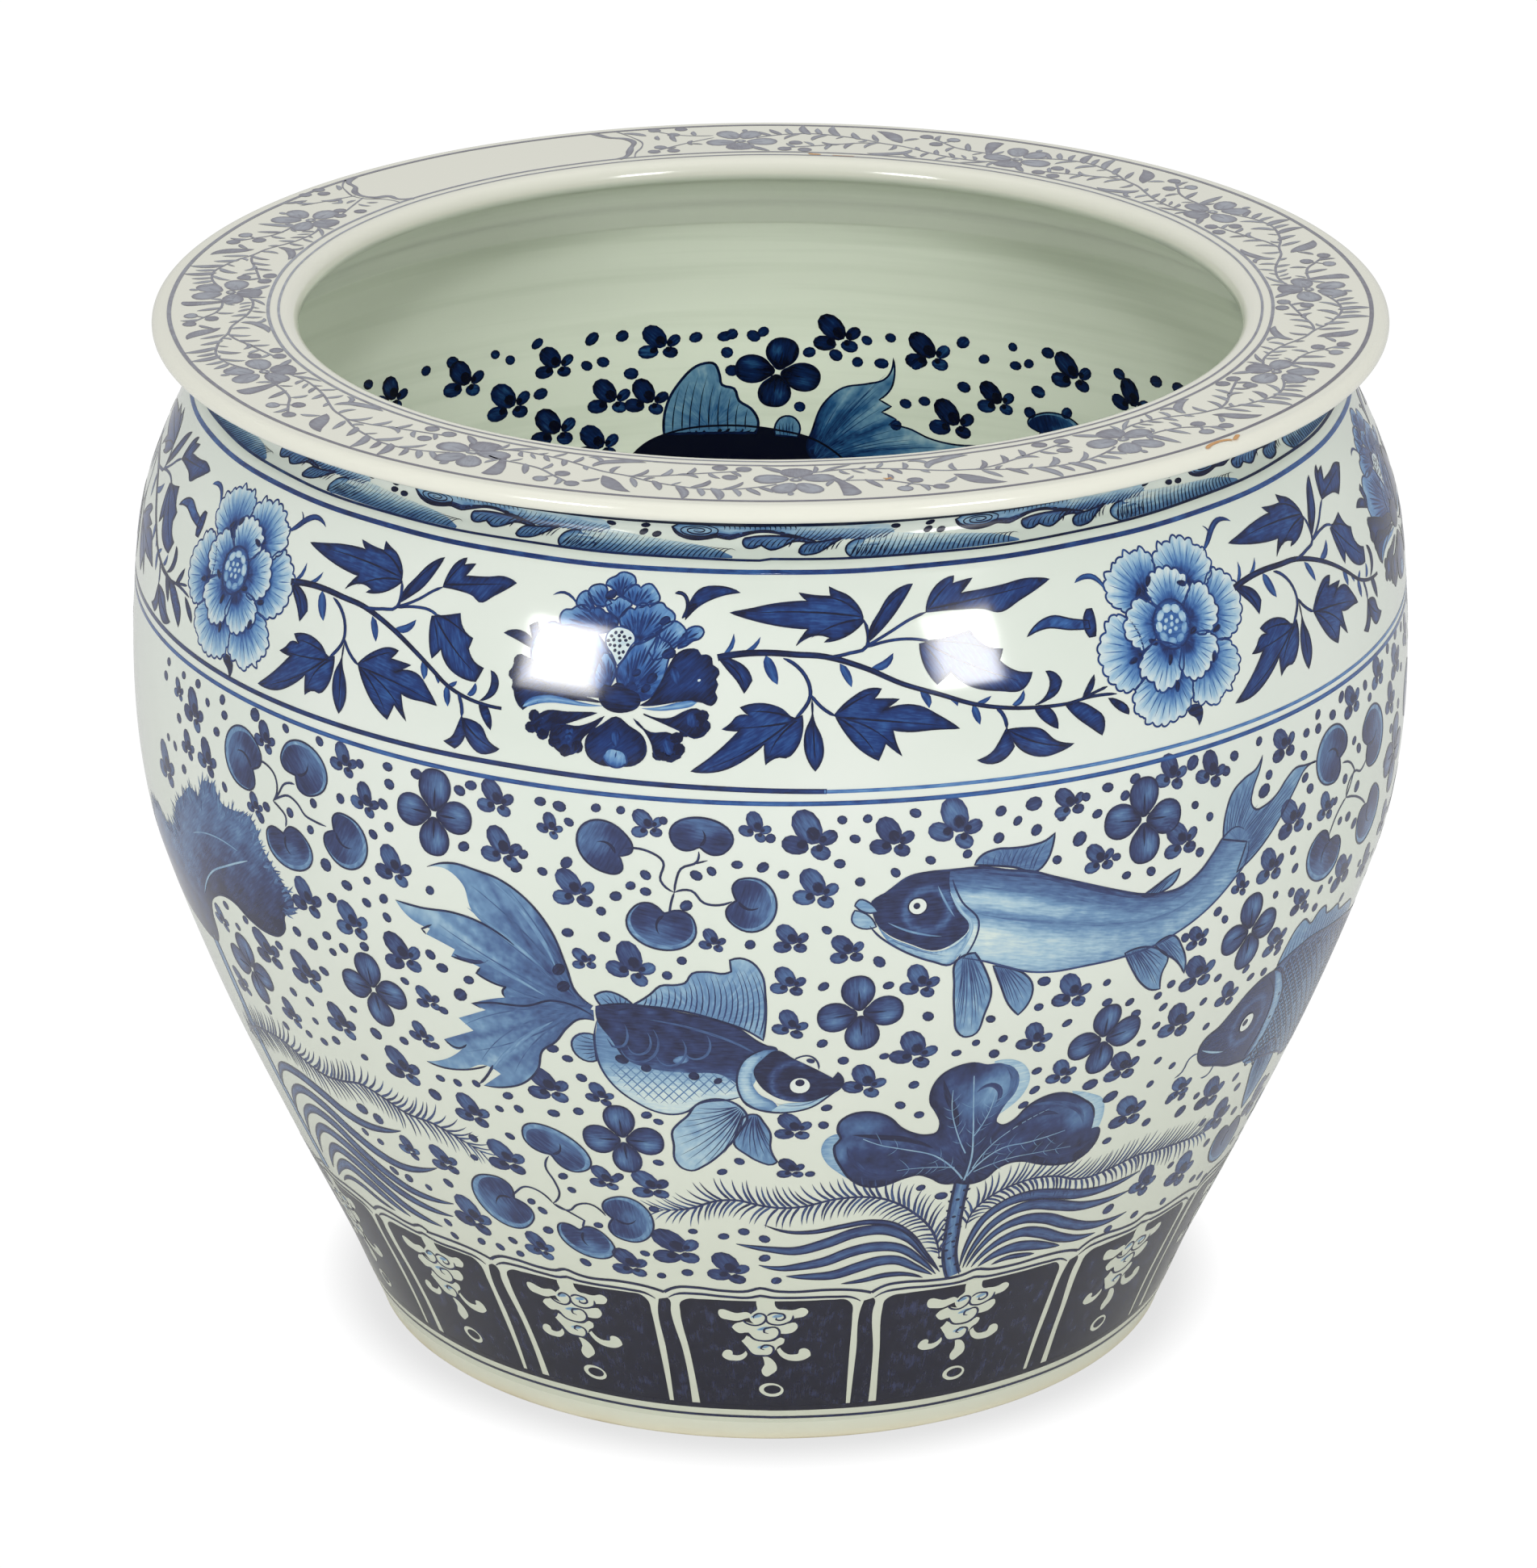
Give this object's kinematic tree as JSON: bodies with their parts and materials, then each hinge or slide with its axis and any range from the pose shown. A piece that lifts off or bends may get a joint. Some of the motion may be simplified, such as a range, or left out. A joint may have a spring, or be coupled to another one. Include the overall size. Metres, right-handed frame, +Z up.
{
  "type": "porcelain jardiniere",
  "caption": "Large round porcelain fishbowl planter with a flat everted rim, pinched neck, full belly and tapered foot, painted in underglaze blue.",
  "frame": {"origin": "centre of the foot ring's resting face, on the pot's own axis", "axes": "+Z up along the turning axis, out of the mouth; the part is round, so +X and +Y are free, with the pictured side of the painting facing -Y"},
  "size_m": [0.54, 0.54, 0.445],
  "materials": {
    "porcelain_glaze": "clear glossy glaze over white porcelain, faintly green",
    "rim_glaze": "clear glossy glaze over ivory porcelain",
    "bare_foot": "unglazed buff porcelain, slightly rough",
    "cobalt_line": "dark cobalt brush line under glossy glaze",
    "cobalt_wash": "pale to middle cobalt brush wash under glossy glaze",
    "rim_blue": "greyed cobalt scroll painting under glossy glaze",
    "iron_stain": "rust coloured iron spots and stained lip line in the glaze"
  },
  "bodies": {
    "root": {"foot_ring": "bare_foot", "base_slab": "porcelain_glaze", "lower_wall": "porcelain_glaze", "belly_wall": "porcelain_glaze", "shoulder_wall": "porcelain_glaze", "rim_flange": "rim_glaze"}
  },
  "joints": []
}
